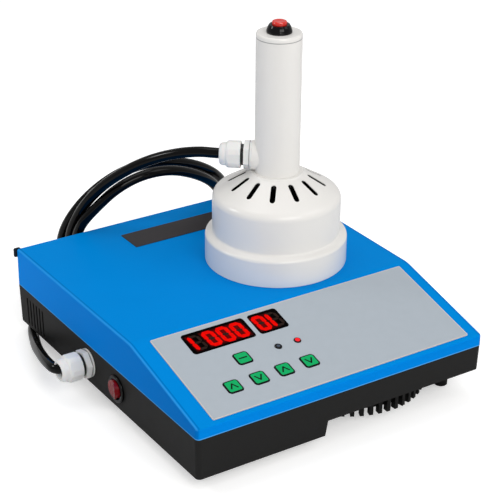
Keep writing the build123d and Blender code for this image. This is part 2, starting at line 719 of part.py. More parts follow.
# ================================================================ cable
with BuildPart() as cable:
    pts = [Vector(*p) for p in route]
    radii, turns = [], []
    for a, b, c in zip(pts, pts[1:], pts[2:]):
        turn = math.radians((b - a).get_angle(c - b))
        radii.append(0.45 * min((b - a).length, (c - b).length) / math.tan(turn / 2))
        turns.append(turn)
    with BuildLine() as path:
        FilletPolyline(*pts, radius=radii)
    with BuildSketch(Plane(origin=pts[0], z_dir=pts[1] - pts[0])):
        Circle(cable_d / 2)
    sweep(path=path.wires()[0])
cable_len = path.wires()[0].length
print("cable length", round(cable_len, 1), "volume ratio",
      round(cable.part.volume / (math.pi * cable_d ** 2 / 4 * cable_len), 4))
print("cable radii", [round(r, 1) for r in radii])
write(cable.part, "cable", 0.0)

# ================================================================ sealing head
head = Plane(origin=(head_x, head_y, head_z), x_dir=(1, 0, 0), z_dir=(0, -1, 0))
head_axis = Axis((head_x, head_y, head_z), (0, 0, 1))
with BuildPart() as bell_housing:
    with BuildSketch(head) as bell_housing_profile:
        with BuildLine():
            outer = Polyline(
                (flange_r - bell_wall, 0), (flange_r, 0), (flange_r, flange_h + 2.4), (bell_r, flange_h + 5.4),
                (bell_r, cone_z0 - 3.3), (cone_r1 + 1.0, cone_z1 - 0.6),
                (cone_r1, cone_z1 + 0.6), (handle_r, cone_z1 + 0.6), (handle_r, cone_z1 - 7.6),
                (24.0, cone_z1 - 7.6), (24.0, cone_z1 - 4.2), (cone_r0 - 2.6, cone_z0 - 3.2), (bell_r - bell_wall, bell_top - 3.8),
                (bell_r - bell_wall, flange_h + 2.6), (flange_r - bell_wall, flange_h - 1.5), close=True,
            )
        make_face()

        def corner(r, h):
            return bell_housing_profile.vertices().sort_by_distance((r, h, 0))[0]

        fillet(corner(flange_r, 0), 0.6)
        fillet(corner(flange_r, flange_h + 2.4), 3.2)
        fillet(corner(bell_r, flange_h + 5.4), 2.4)
        fillet(corner(bell_r, cone_z0 - 3.3), 8.0)
    revolve(axis=head_axis)
    # posts that the sealing plate is screwed to
    with BuildSketch(Plane(origin=(head_x, head_y, head_z + 4.0), z_dir=(0, 0, 1))):
        with PolarLocations(56.0, 4, start_angle=45):
            Rectangle(9.0, 8.0)
    extrude(amount=15)
    with BuildSketch(Plane(origin=(head_x, head_y, head_z + 3.0), z_dir=(0, 0, 1))):
        with PolarLocations(54.0, 4, start_angle=45):
            Circle(1.4)
    extrude(amount=13, mode=Mode.SUBTRACT)
    with BuildSketch(Plane(origin=(head_x, head_y, head_z + 55), z_dir=(0, 0, 1))):
        with PolarLocations((slot_r0 + slot_r1) / 2, slot_count, start_angle=slot_start):
            SlotOverall(slot_r1 - slot_r0, slot_w)
    extrude(amount=40, mode=Mode.SUBTRACT)
write(bell_housing.part, "bell_housing")

with BuildPart() as handle_tube:
    with BuildSketch(Plane(origin=(head_x, head_y, head_z + handle_z0), z_dir=(0, 0, 1))):
        Circle(handle_r)
    extrude(amount=handle_z1 - handle_z0)
    with BuildSketch(Plane(origin=head_gland_plane.origin, x_dir=(0, 0, 1), z_dir=head_gland_plane.z_dir)):
        Circle(12.8)
    extrude(amount=-12)
    with BuildSketch(Plane(origin=(head_x, head_y, head_z + handle_z0), z_dir=(0, 0, 1))):
        Circle(handle_r - handle_wall)
    extrude(amount=handle_z1 - handle_z0, mode=Mode.SUBTRACT)
    with BuildSketch(Plane(origin=head_gland_plane.origin, x_dir=(0, 0, 1), z_dir=head_gland_plane.z_dir)):
        Circle(9.3)
    extrude(amount=-14, mode=Mode.SUBTRACT)
write(handle_tube.part, "handle_tube")

with BuildPart() as handle_cap:
    with BuildSketch(head):
        with BuildLine():
            Polyline(
                (6.15, cap_top), (handle_r - 1.6, cap_top), (handle_r - 0.4, cap_top - 0.5), (handle_r, cap_top - 1.6),
                (handle_r, 203.1), (handle_r - 0.35, 202.8), (handle_r, 202.5), (handle_r, handle_z1),
                (handle_r - handle_wall - 0.05, handle_z1), (handle_r - handle_wall - 0.05, 188.0),
                (handle_r - handle_wall - 2.2, 188.0), (handle_r - handle_wall - 2.2, 202.8), (6.15, 202.8), close=True,
            )
        make_face()
    revolve(axis=head_axis)
write(handle_cap.part, "handle_cap")

with BuildPart() as button_bezel:
    with BuildSketch(head):
        with BuildLine():
            Polyline(
                (2.5, 190.0), (6.0, 190.0), (6.0, cap_top), (dome_r0 - 0.2, cap_top), (dome_r0, cap_top + 0.4),
                (dome_r0, cap_top + 1.6), (dome_r0 - 0.55, cap_top + 3.4), (dome_r0 - 1.3, cap_top + 5.2),
                (dome_r0 - 2.3, cap_top + 6.8), (dome_r1 + 0.5, dome_top), (button_r + 0.3, dome_top),
                (button_r + 0.3, 208.2), (2.5, 208.2), close=True,
            )
        make_face()
    revolve(axis=head_axis)
write(button_bezel.part, "button_bezel")

with BuildPart() as push_button:
    with BuildSketch(head):
        with BuildLine():
            Polyline(
                (0, 186.0), (2.44, 186.0), (2.44, 211.0), (button_r, 211.0), (button_r, button_top - 1.1),
                (button_r - 0.35, button_top - 0.35), (button_r - 1.2, button_top), (3.2, button_top - 0.15),
                (0, button_top - 0.35), close=True,
            )
        make_face()
    revolve(axis=head_axis)
write(push_button.part, "push_button")

with BuildPart() as button_nut:
    with BuildSketch(Plane(origin=(head_x, head_y, head_z + 199.2), z_dir=(0, 0, 1))):
        RegularPolygon(8.0, 6, major_radius=False)
        Circle(6.0, mode=Mode.SUBTRACT)
    extrude(amount=3.6)
write(button_nut.part, "button_nut")

with BuildPart() as button_contact:
    with BuildSketch(Plane(origin=(head_x, head_y, head_z + 174.0), z_dir=(0, 0, 1))):
        RectangleRounded(13, 13, 1.5)
    extrude(amount=9.0)
    with BuildSketch(Plane(origin=(head_x, head_y, head_z + 183.0), z_dir=(0, 0, 1))):
        Circle(6.0)
        Circle(4.6, mode=Mode.SUBTRACT)
    extrude(amount=7.0)
write(button_contact.part, "button_contact")

with BuildPart() as sealing_plate:
    with BuildSketch(Plane(origin=(head_x, head_y, head_z), z_dir=(0, 0, 1))):
        Circle(flange_r - bell_wall - 0.1)
        with PolarLocations(54, 4, start_angle=45):
            Circle(1.7, mode=Mode.SUBTRACT)
    extrude(amount=4.0)
    with BuildSketch(Plane(origin=(head_x, head_y, head_z), z_dir=(0, 0, 1))):
        with PolarLocations(54, 4, start_angle=45):
            Circle(3.2)
    extrude(amount=1.9, mode=Mode.SUBTRACT)
write(sealing_plate.part, "sealing_plate")

with BuildPart() as plate_screws:
    with BuildSketch(Plane(origin=(head_x, head_y, head_z + 0.2), z_dir=(0, 0, 1))):
        with PolarLocations(54, 4, start_angle=45):
            Circle(3.0)
    extrude(amount=1.7)
    with BuildSketch(Plane(origin=(head_x, head_y, head_z + 1.8), z_dir=(0, 0, 1))):
        with PolarLocations(54, 4, start_angle=45):
            Circle(1.4)
    extrude(amount=14)
write(plate_screws.part, "plate_screws")

with BuildPart() as induction_coil:
    with BuildSketch(Plane(origin=(head_x, head_y, head_z + 4.0), z_dir=(0, 0, 1))):
        Circle(46)
        Circle(14, mode=Mode.SUBTRACT)
    extrude(amount=5.0)
write(induction_coil.part, "induction_coil")

with BuildPart() as coil_former:
    with BuildSketch(Plane(origin=(head_x, head_y, head_z + 9.0), z_dir=(0, 0, 1))):
        Circle(50)
        Circle(10, mode=Mode.SUBTRACT)
    extrude(amount=2.6)
    with BuildSketch(Plane(origin=(head_x, head_y, head_z + 4.0), z_dir=(0, 0, 1))):
        Circle(13.9)
        Circle(10, mode=Mode.SUBTRACT)
        Circle(50)
        Circle(46.1, mode=Mode.SUBTRACT)
        Circle(13.9)
        Circle(10, mode=Mode.SUBTRACT)
    extrude(amount=5.2)
write(coil_former.part, "coil_former")

with BuildPart() as ferrite_bars:
    with BuildSketch(Plane(origin=(head_x, head_y, head_z + 11.6), z_dir=(0, 0, 1))):
        with PolarLocations(30, 6):
            Rectangle(34, 11)
    extrude(amount=6.0)
write(ferrite_bars.part, "ferrite_bars")
print("done")
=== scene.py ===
import json
import math

import bmesh
import bpy
from mathutils import Matrix, Vector


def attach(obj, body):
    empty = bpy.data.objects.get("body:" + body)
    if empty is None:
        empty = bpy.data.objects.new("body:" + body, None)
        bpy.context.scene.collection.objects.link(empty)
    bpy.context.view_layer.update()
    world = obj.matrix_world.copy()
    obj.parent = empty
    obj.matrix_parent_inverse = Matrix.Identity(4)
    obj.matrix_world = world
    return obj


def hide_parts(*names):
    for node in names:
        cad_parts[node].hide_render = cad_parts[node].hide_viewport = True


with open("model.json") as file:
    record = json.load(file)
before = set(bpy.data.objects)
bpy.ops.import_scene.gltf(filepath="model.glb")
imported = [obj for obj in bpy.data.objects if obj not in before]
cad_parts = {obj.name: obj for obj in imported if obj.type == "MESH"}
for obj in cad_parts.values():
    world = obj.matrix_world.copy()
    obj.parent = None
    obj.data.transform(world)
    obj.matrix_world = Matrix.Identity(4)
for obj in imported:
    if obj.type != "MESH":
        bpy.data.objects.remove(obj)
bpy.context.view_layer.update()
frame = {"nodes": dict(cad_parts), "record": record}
nodes = frame["nodes"]
sc = bpy.context.scene

# ------------------------------------------------------------------ camera
cam_data = bpy.data.cameras.new("camera")
cam_data.sensor_fit = "HORIZONTAL"
cam_data.sensor_width = 36.0
cam_data.lens = 117.3205
cam_data.clip_start = 0.05
cam_data.clip_end = 50.0
cam = bpy.data.objects.new("camera", cam_data)
sc.collection.objects.link(cam)
right = Vector((0.83833514, -0.54508317, 0.00886204))
up = Vector((0.23289947, 0.37280139, 0.89820764))
back = Vector((-0.49290164, -0.75093506, 0.43948209))
m = Matrix.Identity(4)
for i in range(3):
    m[i][0], m[i][1], m[i][2] = right[i], up[i], back[i]
m[0][3], m[1][3], m[2][3] = -0.68025812, -1.04741254, 0.71993172
cam.matrix_world = m
sc.camera = cam

# ------------------------------------------------------------------ cable
route = [
    (-143.6, 22.6, 30.2), (-168.6, 22.7, 30.4), (-166.4, 47.0, 26.6), (-158.8, 76.0, 19.2),
    (-150.8, 100.3, 12.2), (-142.3, 121.8, 6.2), (-134.7, 141.2, 4.8), (-125.0, 155.9, 5.2),
    (-113.6, 168.0, 10.4), (-101.4, 175.8, 20.0), (-90.0, 178.4, 32.9), (-81.0, 175.6, 47.5),
    (-75.4, 168.1, 62.3), (-74.6, 159.0, 86.6), (-61.4, 147.9, 107.2), (-44.1, 140.5, 124.3),
    (-19.6, 136.6, 133.3), (10.3, 137.6, 131.1), (40.3, 143.0, 117.9), (65.3, 152.7, 99.8),
    (80.8, 164.5, 79.8), (84.7, 176.5, 57.9), (78.4, 187.3, 36.4), (63.6, 195.7, 19.8),
    (41.6, 201.0, 10.1), (15.0, 204.1, 5.7), (-12.7, 206.5, 4.8), (-38.2, 208.6, 7.6),
    (-59.3, 207.3, 20.1), (-73.4, 200.7, 40.8), (-77.6, 189.8, 67.8), (-67.0, 177.5, 96.0),
    (-47.9, 167.0, 118.0), (-21.9, 161.7, 130.4), (10.8, 161.6, 130.7), (46.4, 165.8, 119.7),
    (77.6, 173.6, 101.1), (97.5, 184.4, 80.1), (103.2, 196.1, 56.5), (97.2, 206.6, 32.5),
    (81.4, 214.4, 14.1), (58.3, 218.2, 4.9), (30.2, 218.2, 5.2), (-0.3, 215.0, 11.3),
    (-29.8, 208.8, 19.1), (-54.5, 199.5, 29.5), (-70.7, 188.3, 47.2), (-76.4, 176.4, 72.8),
    (-69.7, 163.0, 101.6), (-58.2, 145.2, 127.0), (-45.0, 124.0, 147.2), (-30.9, 102.1, 163.0),
    (-15.4, 80.5, 173.4), (-2.7, 63.3, 178.0), (5.2, 52.6, 178.5), (21.5, 39.8, 178.3),
]
curve = bpy.data.curves.new("cable_run", "CURVE")
curve.dimensions = "3D"
sp = curve.splines.new("NURBS")
sp.points.add(len(route) - 1)
for p, q in zip(sp.points, route):
    p.co = (q[0] / 1000, q[1] / 1000, q[2] / 1000, 1.0)
    p.radius = 0.0047
sp.order_u = 3
sp.use_endpoint_u = True
curve.resolution_u = 6
curve.bevel_depth = 1.0
curve.bevel_resolution = 5
curve.use_fill_caps = True
cable = bpy.data.objects.new("cable_run", curve)
sc.collection.objects.link(cable)
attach(cable, "housing")
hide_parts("cable")

# ------------------------------------------------------------------ shader helpers


class E:
    """A number in a shader tree: arithmetic on it adds math nodes."""

    tree = None

    def __init__(self, s):
        self.s = s

    @staticmethod
    def op(name, *a, clamp=False):
        n = E.tree.nodes.new("ShaderNodeMath")
        n.operation = name
        n.use_clamp = clamp
        for i, v in enumerate(a):
            if isinstance(v, E):
                E.tree.links.new(v.s, n.inputs[i])
            else:
                n.inputs[i].default_value = v
        return E(n.outputs[0])

    def __add__(self, o): return E.op("ADD", self, o)
    __radd__ = __add__
    def __sub__(self, o): return E.op("SUBTRACT", self, o)
    def __rsub__(self, o): return E.op("SUBTRACT", o, self)
    def __mul__(self, o): return E.op("MULTIPLY", self, o)
    __rmul__ = __mul__
    def abs(self): return E.op("ABSOLUTE", self)
    def max(self, o): return E.op("MAXIMUM", self, o)
    def min(self, o): return E.op("MINIMUM", self, o)
    def lt(self, v, soft): return E.op("MULTIPLY_ADD", self, -1.0 / soft, v / soft + 0.5, clamp=True)
    def gt(self, v, soft): return E.op("MULTIPLY_ADD", self, 1.0 / soft, -v / soft + 0.5, clamp=True)


def new_mat(name):
    mat = bpy.data.materials.new(name)
    mat.use_nodes = True
    t = mat.node_tree
    E.tree = t
    bsdf = t.nodes["Principled BSDF"]
    return mat, t, bsdf


def coords(t):
    c = t.nodes.new("ShaderNodeTexCoord")
    x = t.nodes.new("ShaderNodeSeparateXYZ")
    t.links.new(c.outputs["Object"], x.inputs[0])
    return c.outputs["Object"], E(x.outputs[0]), E(x.outputs[1]), E(x.outputs[2])


def noise(t, vec, scale, detail=2.0, rough=0.5):
    n = t.nodes.new("ShaderNodeTexNoise")
    n.inputs["Scale"].default_value = scale
    n.inputs["Detail"].default_value = detail
    n.inputs["Roughness"].default_value = rough
    t.links.new(vec, n.inputs["Vector"])
    return E(n.outputs[0])


def mix(t, fac, a, b):
    n = t.nodes.new("ShaderNodeMix")
    n.data_type = "RGBA"
    if isinstance(fac, E):
        t.links.new(fac.s, n.inputs[0])
    else:
        n.inputs[0].default_value = fac
    for i, v in ((6, a), (7, b)):
        if isinstance(v, tuple):
            n.inputs[i].default_value = (*v, 1.0) if len(v) == 3 else v
        else:
            t.links.new(v, n.inputs[i])
    return n.outputs[2]


def bump(t, bsdf, height, distance, strength=1.0):
    b = t.nodes.new("ShaderNodeBump")
    b.inputs["Strength"].default_value = strength
    b.inputs["Distance"].default_value = distance
    t.links.new(height.s, b.inputs["Height"])
    t.links.new(b.outputs[0], bsdf.inputs["Normal"])


def plain(name, color, rough, metallic=0.0, spec=0.5, coat=0.0, coat_rough=0.1, var=0.06, var_scale=30.0,
          bump_h=0.0, bump_scale=900.0, sss=0.0):
    """A finish with a slight mottle in its colour, roughness and surface."""
    mat, t, bsdf = new_mat(name)
    vec, x, y, z = coords(t)
    n1 = noise(t, vec, var_scale, 3.0)
    dark = tuple(c * (1 - var) for c in color)
    light = tuple(min(1.0, c * (1 + var)) for c in color)
    t.links.new(mix(t, n1, dark, light), bsdf.inputs["Base Color"])
    t.links.new((n1 * (rough * 0.2) + rough * 0.9).s, bsdf.inputs["Roughness"])
    bsdf.inputs["Metallic"].default_value = metallic
    bsdf.inputs["Specular IOR Level"].default_value = spec
    bsdf.inputs["Coat Weight"].default_value = coat
    bsdf.inputs["Coat Roughness"].default_value = coat_rough
    if sss:
        bsdf.inputs["Subsurface Weight"].default_value = sss
        bsdf.inputs["Subsurface Scale"].default_value = 0.002
    if bump_h:
        bump(t, bsdf, noise(t, vec, bump_scale, 2.0), bump_h)
    return mat


def srgb(r, g, b):
    def lin(c):
        c /= 255.0
        return c / 12.92 if c <= 0.04045 else ((c + 0.055) / 1.055) ** 2.4
    return (lin(r), lin(g), lin(b))


# ------------------------------------------------------------------ finishes
black = plain("black_plastic", srgb(33, 33, 33), 0.5, spec=0.08, var=0.06, var_scale=60, bump_h=0.00002, bump_scale=1800)
black_rear = plain("black_rear", srgb(24, 24, 25), 0.4, spec=0.4)
label = plain("label_film", srgb(44, 41, 44), 0.45, spec=0.25, var=0.02)
red_button = plain("button_red", srgb(216, 40, 26), 0.14, spec=0.6, var=0.06, var_scale=400)
gloss_black = plain("bezel_black", srgb(5, 5, 6), 0.1, spec=0.3, var=0.02)
gloss_black.node_tree.nodes["Principled BSDF"].inputs["IOR"].default_value = 1.4
rocker_red = plain("rocker_red", srgb(120, 6, 16), 0.12, spec=0.5, var=0.25, var_scale=420)
cable_black = plain("cable_black", srgb(2, 2, 2), 0.1, spec=0.3, var=0.03)
cable_black.node_tree.nodes["Principled BSDF"].inputs["IOR"].default_value = 1.36
rubber = plain("rubber_black", srgb(8, 8, 8), 0.6, spec=0.2)
board = plain("board_green", srgb(24, 100, 60), 0.45)
steel = plain("steel", srgb(190, 190, 192), 0.3, metallic=1.0)
copper = plain("copper", srgb(205, 120, 75), 0.3, metallic=1.0)
alu = plain("aluminium", srgb(205, 206, 210), 0.32, metallic=1.0)
fan_black = plain("fan_black", srgb(8, 8, 8), 0.5, spec=0.2)
ferrite = plain("ferrite", srgb(48, 48, 50), 0.55)
comp = plain("component", srgb(40, 42, 48), 0.4)

# blue lid: a pale strip just above the joint as a painted highlight, and dark right at it
blue, t, bsdf = new_mat("blue_paint")
vec, x, y, z = coords(t)
n1 = noise(t, vec, 25.0, 3.0)
base = mix(t, n1, srgb(0, 130, 211), srgb(0, 134, 216))
# painted light and shade: the sides a little deeper than the top, the front and rear faces their own blue, and
# the left and right flanks darker towards the front and lighter towards the rear
geo = t.nodes.new("ShaderNodeNewGeometry")
sep = t.nodes.new("ShaderNodeSeparateXYZ")
t.links.new(geo.outputs["Normal"], sep.inputs[0])
side = E(sep.outputs[2]).abs().lt(0.5, 0.5)
# painted shade at the front of each flank, painted light at its rear
flank = mix(t, y.gt(0.0, 0.30), srgb(0, 112, 198), srgb(4, 136, 234))
base = mix(t, side, base, mix(t, E(sep.outputs[0]).abs().gt(0.5, 0.4), srgb(0, 130, 222), flank))
ex = x.abs()
upper = E(sep.outputs[2]).gt(0.6, 0.3)
# painted reflection: a darker band on the top along the bend to each side
base = mix(t, ex.gt(0.1370, 0.0006).min(ex.lt(0.1383, 0.0005)).min(upper) * 0.45, base, srgb(0, 84, 160))
# painted highlight: a light line on the bend, outside the darker band
base = mix(t, ex.gt(0.1387, 0.0004).min(z.gt(0.0560, 0.0010)).min(ex.lt(0.13985, 0.0002)) * 0.35, base, srgb(70, 168, 240))
# painted highlight: a pale strip along the lid's lower edge
pale = z.gt(0.0476, 0.0003).min(z.lt(0.0484, 0.0005))
base = mix(t, pale * 0.45, base, srgb(120, 196, 240))
dark = z.lt(0.0477, 0.0002)
base = mix(t, dark, base, srgb(4, 30, 60))
t.links.new(base, bsdf.inputs["Base Color"])
t.links.new((n1 * 0.06 + 0.33).s, bsdf.inputs["Roughness"])
bsdf.inputs["Specular IOR Level"].default_value = 0.02
bsdf.inputs["IOR"].default_value = 1.3
bump(t, bsdf, noise(t, vec, 1400.0, 2.0), 0.00002)

# panel film: a pale edge
film, t, bsdf = new_mat("panel_film")
vec, x, y, z = coords(t)
n1 = noise(t, vec, 120.0)
fs = math.atan2(0.0730 - 0.0478, -0.0507 + 0.154)
su = y * math.cos(fs) + z * math.sin(fs)
su = su - (-0.154 * math.cos(fs) + 0.0574 * math.sin(fs) + 0.0536)
ex = (x - 0.0023).abs() - 0.1255
ey = su.abs() - 0.0494
edge = ex.max(ey)
col = mix(t, n1, srgb(165, 174, 183), srgb(170, 179, 188))
col = mix(t, edge.gt(-0.0007, 0.0003), col, srgb(206, 198, 190))
t.links.new(col, bsdf.inputs["Base Color"])
t.links.new((n1 * 0.05 + 0.45).s, bsdf.inputs["Roughness"])
bsdf.inputs["Specular IOR Level"].default_value = 0.3

# head: pale enamel, with painted shade: black inside the bell
hx, hy = 0.0472, 0.0198
white, t, bsdf = new_mat("head_white")
vec, x, y, z = coords(t)
n1 = noise(t, vec, 18.0, 3.0)
rx, ry = x - hx, y - hy
rad = E.op("SQRT", rx * rx + ry * ry)
col = mix(t, n1, srgb(230, 228, 225), srgb(234, 232, 229))
bz = z - 0.0826
# painted shade, black: the depth below the cone's face, and the inside of the drum
cone = rad * -0.5948 + (0.0654 + 0.0505 * 0.5948)
inside = (bz - cone).lt(-0.0007, 0.0003)
inside = inside.min(rad.gt(0.0235, 0.0004)).min(bz.gt(0.058, 0.0005)).min(rad.lt(0.0498, 0.0005))
inside = inside.max(rad.lt(0.0535, 0.0003).min(bz.lt(0.0595, 0.0005)).min(bz.gt(0.0045, 0.0003)))
col = mix(t, inside, col, (0.002, 0.002, 0.002))
# painted shade: a grey line in the groove where the cap meets the tube
joint = (bz - 0.2028).abs().lt(0.00042, 0.0002).min(rad.gt(0.0188, 0.0003))
col = mix(t, joint * 0.6, col, srgb(110, 112, 116))
t.links.new(col, bsdf.inputs["Base Color"])
t.links.new((n1 * 0.03 + 0.24).s, bsdf.inputs["Roughness"])
bsdf.inputs["Specular IOR Level"].default_value = 0.5
bump(t, bsdf, noise(t, vec, 260.0, 2.0), 0.00002)

# glands: pale plastic, with painted shade dark in the thread between body and nut
gland_mats = {}
ga = math.radians(142.0)
for gname, gp, gd in (
    ("box", (-0.13965, 0.0226, 0.0302), (-1.0, 0.0, 0.0)),
    ("head", (0.0472 + 0.0214 * math.cos(ga), 0.0198 + 0.0214 * math.sin(ga), 0.0826 + 0.0957), (math.cos(ga), math.sin(ga), 0.0)),
):
    gm, t, bsdf = new_mat("gland_white_" + gname)
    vec, x, y, z = coords(t)
    dx, dy, dz = x - gp[0], y - gp[1], z - gp[2]
    along = dx * gd[0] + dy * gd[1] + dz * gd[2]
    rr = dx * dx + dy * dy + dz * dz - along * along
    rad = E.op("SQRT", rr.max(0.0))
    # painted shade: the thread between body and nut
    neck = rad.lt(0.0099, 0.0004).min(along.gt(0.0066, 0.0002)).min(along.lt(0.0105, 0.0002))
    seal = rad.lt(0.0056, 0.0003).min(along.gt(0.0226, 0.0002))
    n1 = noise(t, vec, 60.0)
    col = mix(t, n1, srgb(226, 226, 225), srgb(232, 232, 231))
    joint = (along - 0.0020).abs().lt(0.00035, 0.0002)
    col = mix(t, joint * 0.75, col, srgb(70, 72, 74))
    col = mix(t, neck.max(seal), col, (0.006, 0.006, 0.006))
    t.links.new(col, bsdf.inputs["Base Color"])
    t.links.new((n1 * 0.04 + 0.3).s, bsdf.inputs["Roughness"])
    bsdf.inputs["Subsurface Weight"].default_value = 0.1
    bsdf.inputs["Subsurface Scale"].default_value = 0.002
    gland_mats[gname] = gm

# display window: near black, with a painted red glow of the lit digits around them
window, t, bsdf = new_mat("display_window")
vec, x, y, z = coords(t)
su = y * math.cos(fs) + z * math.sin(fs) - (-0.154 * math.cos(fs) + 0.0574 * math.sin(fs) + 0.0856)
sx = x + su * 0.10
band = su.abs().lt(0.0085, 0.003)
zeros = (sx + 0.0622).abs().lt(0.0192, 0.003).max((sx + 0.0274).abs().lt(0.0060, 0.003))
ones = (sx + 0.0926).abs().lt(0.0018, 0.003).max((sx + 0.0182).abs().lt(0.0018, 0.003))
# painted glow: the red light of the lit digits, as colour and a faint emission
halo = band.min(zeros.max(ones))
t.links.new(mix(t, halo, srgb(3, 1, 1), srgb(40, 2, 2)), bsdf.inputs["Base Color"])
t.links.new(mix(t, halo, (0.0, 0.0, 0.0), (1.0, 0.02, 0.02)), bsdf.inputs["Emission Color"])
bsdf.inputs["Emission Strength"].default_value = 0.09
bsdf.inputs["Roughness"].default_value = 0.14
bsdf.inputs["Specular IOR Level"].default_value = 0.03
bsdf.inputs["IOR"].default_value = 1.3

# indicator lamps: dark rim, lens in the middle
lamps = {}
for lname, (lx, ls), inner, outer in (
    ("lamp_dark", (-30.1, 55.8), srgb(66, 76, 92), srgb(6, 6, 8)),
    ("lamp_red", (-11.3, 55.9), srgb(222, 12, 24), srgb(24, 2, 4)),
):
    lm, t, bsdf = new_mat(lname)
    vec, x, y, z = coords(t)
    px = x - lx / 1000.0
    py = y * math.cos(fs) + z * math.sin(fs) - (-0.154 * math.cos(fs) + 0.0574 * math.sin(fs) + ls / 1000.0)
    rad = E.op("SQRT", px * px + py * py)
    lens = rad.lt(0.0015 if lname == "lamp_dark" else 0.0021, 0.0006)
    col = mix(t, lens, outer, inner)
    t.links.new(col, bsdf.inputs["Base Color"])
    bsdf.inputs["Roughness"].default_value = 0.15
    bsdf.inputs["Specular IOR Level"].default_value = 0.2
    if lname == "lamp_red":
        t.links.new(mix(t, lens, (0.0, 0.0, 0.0), (1.0, 0.02, 0.03)), bsdf.inputs["Emission Color"])
        bsdf.inputs["Emission Strength"].default_value = 0.35
    lamps[lname] = lm

slot_mat = {
    "blue_shell": blue, "black_shell": black, "black_rear": black_rear, "panel_film": film,
    "display_window": window, "label_film": label, "head_white": white, "gland_white": gland_mats["box"],
    "button_red": red_button, "bezel_black": gloss_black, "rocker_red": rocker_red, "cable_black": cable_black,
    "rubber_black": rubber, "board_green": board, "steel": steel, "copper": copper, "aluminium": alu,
    "fan_black": fan_black, "ferrite": ferrite, "component": comp, "lamp_red": lamps["lamp_red"], "lamp_dark": lamps["lamp_dark"],
}
for part in frame["record"]["subparts"]:
    o = nodes[part["node"]]
    mat = slot_mat.get(part["material_slot"])
    if mat is not None:
        o.data.materials.clear()
        o.data.materials.append(mat)
for name in ("head_gland_washer", "head_gland_body", "head_gland_nut"):
    nodes[name].data.materials.clear()
    nodes[name].data.materials.append(gland_mats["head"])
cable.data.materials.append(cable_black)

# ------------------------------------------------------------------ the sloped panel's own axes
slope = math.atan2(0.0730 - 0.0478, -0.0507 + 0.154)
p_org = Vector((0.0, -0.154, 0.0574))
p_s = Vector((0.0, math.cos(slope), math.sin(slope)))
p_n = Vector((0.0, -math.sin(slope), math.cos(slope)))


def on_panel(x, s, h):
    """Millimetres across, up the slope and out of it."""
    return p_org + Vector((x / 1000, 0, 0)) + p_s * (s / 1000) + p_n * (h / 1000)


def flat_piece(name, polys, place, mat, body):
    """Flat polygons (lists of outlines, millimetres) as one thin printed piece."""
    me = bpy.data.meshes.new(name)
    verts, faces = [], []
    for poly in polys:
        base = len(verts)
        verts += [tuple(place(u, v)) for u, v in poly]
        faces.append(list(range(base, base + len(poly))))
    me.from_pydata(verts, [], faces)
    me.update()
    o = bpy.data.objects.new(name, me)
    sc.collection.objects.link(o)
    o.data.materials.append(mat)
    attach(o, body)
    return o


def rounded(cx, cy, w, h, r, n=6):
    pts = []
    for qx, qy, a0 in ((1, 1, 0), (-1, 1, 90), (-1, -1, 180), (1, -1, 270)):
        for k in range(n + 1):
            a = math.radians(a0 + 90 * k / n)
            pts.append((cx + qx * (w / 2 - r) + r * math.cos(a), cy + qy * (h / 2 - r) + r * math.sin(a)))
    return pts


def ring_piece(name, outer, inner, place, mat, body, slot):
    me = bpy.data.meshes.new(name)
    n = len(outer)
    verts = [tuple(place(*p)) for p in outer] + [tuple(place(*p)) for p in inner]
    faces = [[i, (i + 1) % n, n + (i + 1) % n, n + i] for i in range(n)]
    me.from_pydata(verts, [], faces)
    me.update()
    o = bpy.data.objects.new(name, me)
    sc.collection.objects.link(o)
    o.data.materials.append(mat)
    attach(o, body)
    return o


# ------------------------------------------------------------------ keys
key_green = srgb(0, 166, 94)
ink = srgb(4, 6, 6)
keys = {
    "key_set": (-64.6, 55.2, "bar"), "key_time_up": (-89.3, 29.9, "up"), "key_time_down": (-64.8, 30.1, "down"),
    "key_power_up": (-40.6, 30.4, "up"), "key_power_down": (-16.1, 30.7, "down"),
}
ink_mat = plain("ink", ink, 0.4, spec=0.08, var=0.02)


def stroke(pts, w):
    """A polyline of width w as quads with square ends."""
    out = []
    for (ax, ay), (bx, by) in zip(pts, pts[1:]):
        dx, dy = bx - ax, by - ay
        l = math.hypot(dx, dy)
        dx, dy = dx / l, dy / l
        nx, ny = -dy * w / 2, dx * w / 2
        ex, ey = dx * w / 4, dy * w / 4
        out.append([(ax - ex + nx, ay - ey + ny), (ax - ex - nx, ay - ey - ny), (bx + ex - nx, by + ey - ny), (bx + ex + nx, by + ey + ny)])
    return out


for key, (kx, ks, sign) in keys.items():
    mat, t, bsdf = new_mat(key + "_finish")
    vec, x, y, z = coords(t)
    px = (x - kx / 1000.0).abs()
    py = (y * p_s.y + z * p_s.z - (p_org.dot(p_s) + ks / 1000.0)).abs()
    hx, r = 0.0056, 0.0015
    ax = (px - (hx - r)).max(0.0)
    ay = (py - (hx - r)).max(0.0)
    d = E.op("SQRT", ax * ax + ay * ay) - r
    fac = d.lt(0.0, 0.0002)
    h = y * p_n.y + z * p_n.z - p_org.dot(p_n)
    fac = fac.min(h.gt(0.0011, 0.0002))
    n1 = noise(t, vec, 300.0)
    t.links.new(mix(t, fac, ink, mix(t, n1, tuple(c * 0.95 for c in key_green), tuple(c * 1.05 for c in key_green))), bsdf.inputs["Base Color"])
    bsdf.inputs["Roughness"].default_value = 0.42
    bsdf.inputs["Specular IOR Level"].default_value = 0.1
    o = nodes[key]
    o.data.materials.clear()
    o.data.materials.append(mat)
    place = lambda u, v, kx=kx, ks=ks: on_panel(kx + u, ks + v, 1.44)
    if sign == "bar":
        st = stroke([(-3.5, 0.0), (3.5, 0.0)], 1.3)
    elif sign == "up":
        st = stroke([(-3.0, -2.5), (0.0, 2.6), (3.0, -2.5)], 1.3)
    else:
        st = stroke([(-3.0, 2.5), (0.0, -2.6), (3.0, 2.5)], 1.3)
    flat_piece(key + "_sign", st, place, ink_mat, key)

